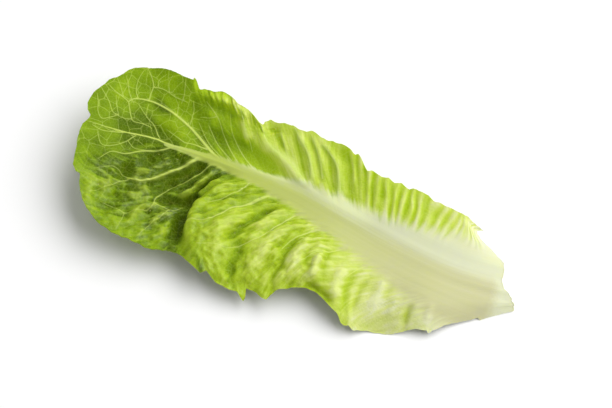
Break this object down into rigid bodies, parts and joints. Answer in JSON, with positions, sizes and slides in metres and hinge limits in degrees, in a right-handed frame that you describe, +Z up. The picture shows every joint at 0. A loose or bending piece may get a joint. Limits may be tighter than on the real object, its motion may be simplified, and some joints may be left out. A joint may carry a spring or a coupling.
{
  "type": "romaine lettuce leaf",
  "caption": "Single romaine lettuce leaf lying on its back: a broad pale midrib tapering into a crinkled, veined green blade.",
  "frame": {"origin": "under the middle of the leaf's bounding box, at the height of the surface it lies on", "axes": "+X towards the cut end of the midrib and -X towards the tip, +Y towards the margin that stands up, +Z up from the surface"},
  "size_m": [0.2534, 0.1074, 0.03],
  "materials": {
    "leaf_tissue": "satin, slightly waxy, with pale green-white midrib and veins and a blade that light shines through"
  },
  "bodies": {
    "root": {"leaf": "leaf_tissue"}
  },
  "joints": []
}
